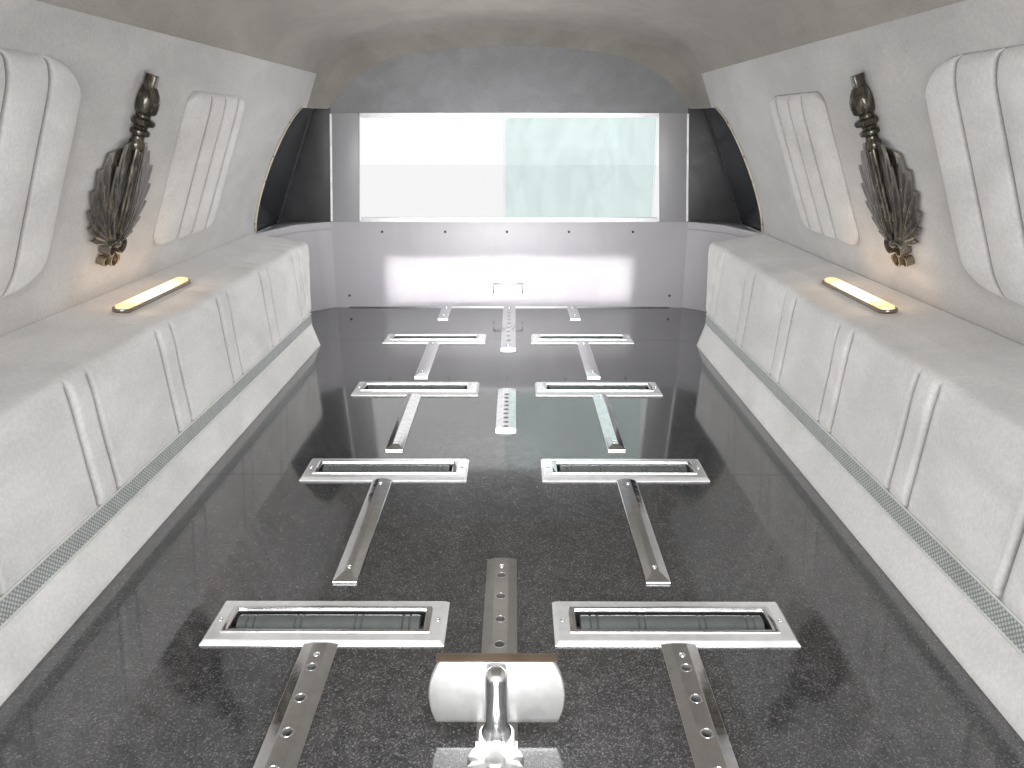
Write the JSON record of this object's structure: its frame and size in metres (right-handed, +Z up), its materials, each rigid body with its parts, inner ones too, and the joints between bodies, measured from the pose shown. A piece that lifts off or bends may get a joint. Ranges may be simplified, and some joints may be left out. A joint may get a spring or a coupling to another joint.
{
  "type": "hearse casket compartment",
  "caption": "Fitted load space of a hearse: gloss deck with casket rollers, pin rails and a stop, padded benches, leaning walls, arched roof and a glazed partition.",
  "frame": {"origin": "on the ground plane, under the middle of the floor frame", "axes": "+X to the vehicle's right, +Y towards the front of the vehicle, +Z up"},
  "size_m": [1.6418, 2.436, 1.064],
  "materials": {
    "steel_frame": "satin black paint",
    "deck_laminate": "high-gloss black laminate with fine light speckle",
    "chrome": "polished",
    "tray_steel": "matt black",
    "roller_rubber": "smooth, slightly glossy black rubber",
    "pad_rubber": "dark brown gum rubber",
    "board": "plain board",
    "suede": "light grey brushed suede cloth",
    "suede_dark": "darker grey brushed cloth",
    "headlining": "warm grey headlining",
    "checker": "embossed bright strip",
    "lamp_bezel": "dark chrome",
    "lamp_lens": "lit warm white lens",
    "partition": "grey satin laminate",
    "edging": "cream",
    "dark_trim": "dark grained",
    "tinted_glass": "dark privacy tint",
    "clear_glass": "pale green tint",
    "bronze": "dark lacquered, with amber highlights",
    "aluminium": "satin"
  },
  "bodies": {
    "compartment": {"floor_channels": "steel_frame", "floor_bearers": "steel_frame", "upright_posts": "steel_frame", "leaning_posts": "steel_frame", "roof_bows": "steel_frame", "side_rails": "steel_frame", "deck_board_rear": "deck_laminate", "deck_board_middle": "deck_laminate", "deck_board_front": "deck_laminate", "rear_sill_plate": "chrome", "roller_plates": "chrome", "roller_trays": "tray_steel", "pin_rail_centre_rear": "chrome", "pin_rails": "chrome", "skid_bars": "chrome", "bench_box_left": "board", "bench_box_right": "board", "bench_cover_left": "suede", "bench_cover_right": "suede", "bench_strips": "checker", "lamp_bezels": "lamp_bezel", "lamp_lenses": "lamp_lens", "wall_panels": "suede", "wall_pads": "suede", "torches": "bronze", "arch_trims": "edging", "headliner": "headlining", "front_cove": "headlining", "rear_arch_trim": "dark_trim", "partition_lower": "partition", "partition_posts": "partition", "partition_upper": "suede_dark", "partition_glass": "clear_glass", "window_tracks": "aluminium", "corner_panels": "partition", "corner_sills": "partition", "pillar_trims": "dark_trim", "quarter_glass": "tinted_glass"},
    "roller_left_1": {"roller_left_1": "roller_rubber"},
    "roller_left_2": {"roller_left_2": "roller_rubber"},
    "roller_left_3": {"roller_left_3": "roller_rubber"},
    "roller_left_4": {"roller_left_4": "roller_rubber"},
    "roller_right_1": {"roller_right_1": "roller_rubber"},
    "roller_right_2": {"roller_right_2": "roller_rubber"},
    "roller_right_3": {"roller_right_3": "roller_rubber"},
    "roller_right_4": {"roller_right_4": "roller_rubber"},
    "casket_stop": {"stop_base": "chrome", "stop_plate": "chrome", "stop_pad": "pad_rubber", "stop_knob": "chrome"}
  },
  "joints": [
    {"name": "roller_left_1_spin", "type": "hinge", "parent": "compartment", "child": "roller_left_1", "pos_m": [-0.2175, -0.6065, 0.102], "axis": [1, 0, 0], "continuous": true},
    {"name": "roller_left_2_spin", "type": "hinge", "parent": "compartment", "child": "roller_left_2", "pos_m": [-0.2175, -0.1465, 0.102], "axis": [1, 0, 0], "continuous": true},
    {"name": "roller_left_3_spin", "type": "hinge", "parent": "compartment", "child": "roller_left_3", "pos_m": [-0.2175, 0.3135, 0.102], "axis": [1, 0, 0], "continuous": true},
    {"name": "roller_left_4_spin", "type": "hinge", "parent": "compartment", "child": "roller_left_4", "pos_m": [-0.2175, 0.7735, 0.102], "axis": [1, 0, 0], "continuous": true},
    {"name": "roller_right_1_spin", "type": "hinge", "parent": "compartment", "child": "roller_right_1", "pos_m": [0.2175, -0.6065, 0.102], "axis": [1, 0, 0], "continuous": true},
    {"name": "roller_right_2_spin", "type": "hinge", "parent": "compartment", "child": "roller_right_2", "pos_m": [0.2175, -0.1465, 0.102], "axis": [1, 0, 0], "continuous": true},
    {"name": "roller_right_3_spin", "type": "hinge", "parent": "compartment", "child": "roller_right_3", "pos_m": [0.2175, 0.3135, 0.102], "axis": [1, 0, 0], "continuous": true},
    {"name": "roller_right_4_spin", "type": "hinge", "parent": "compartment", "child": "roller_right_4", "pos_m": [0.2175, 0.7735, 0.102], "axis": [1, 0, 0], "continuous": true},
    {"name": "stop_lift", "type": "slide", "parent": "compartment", "child": "casket_stop", "axis": [0, 0, 1], "range_m": [0, 0.06]}
  ]
}
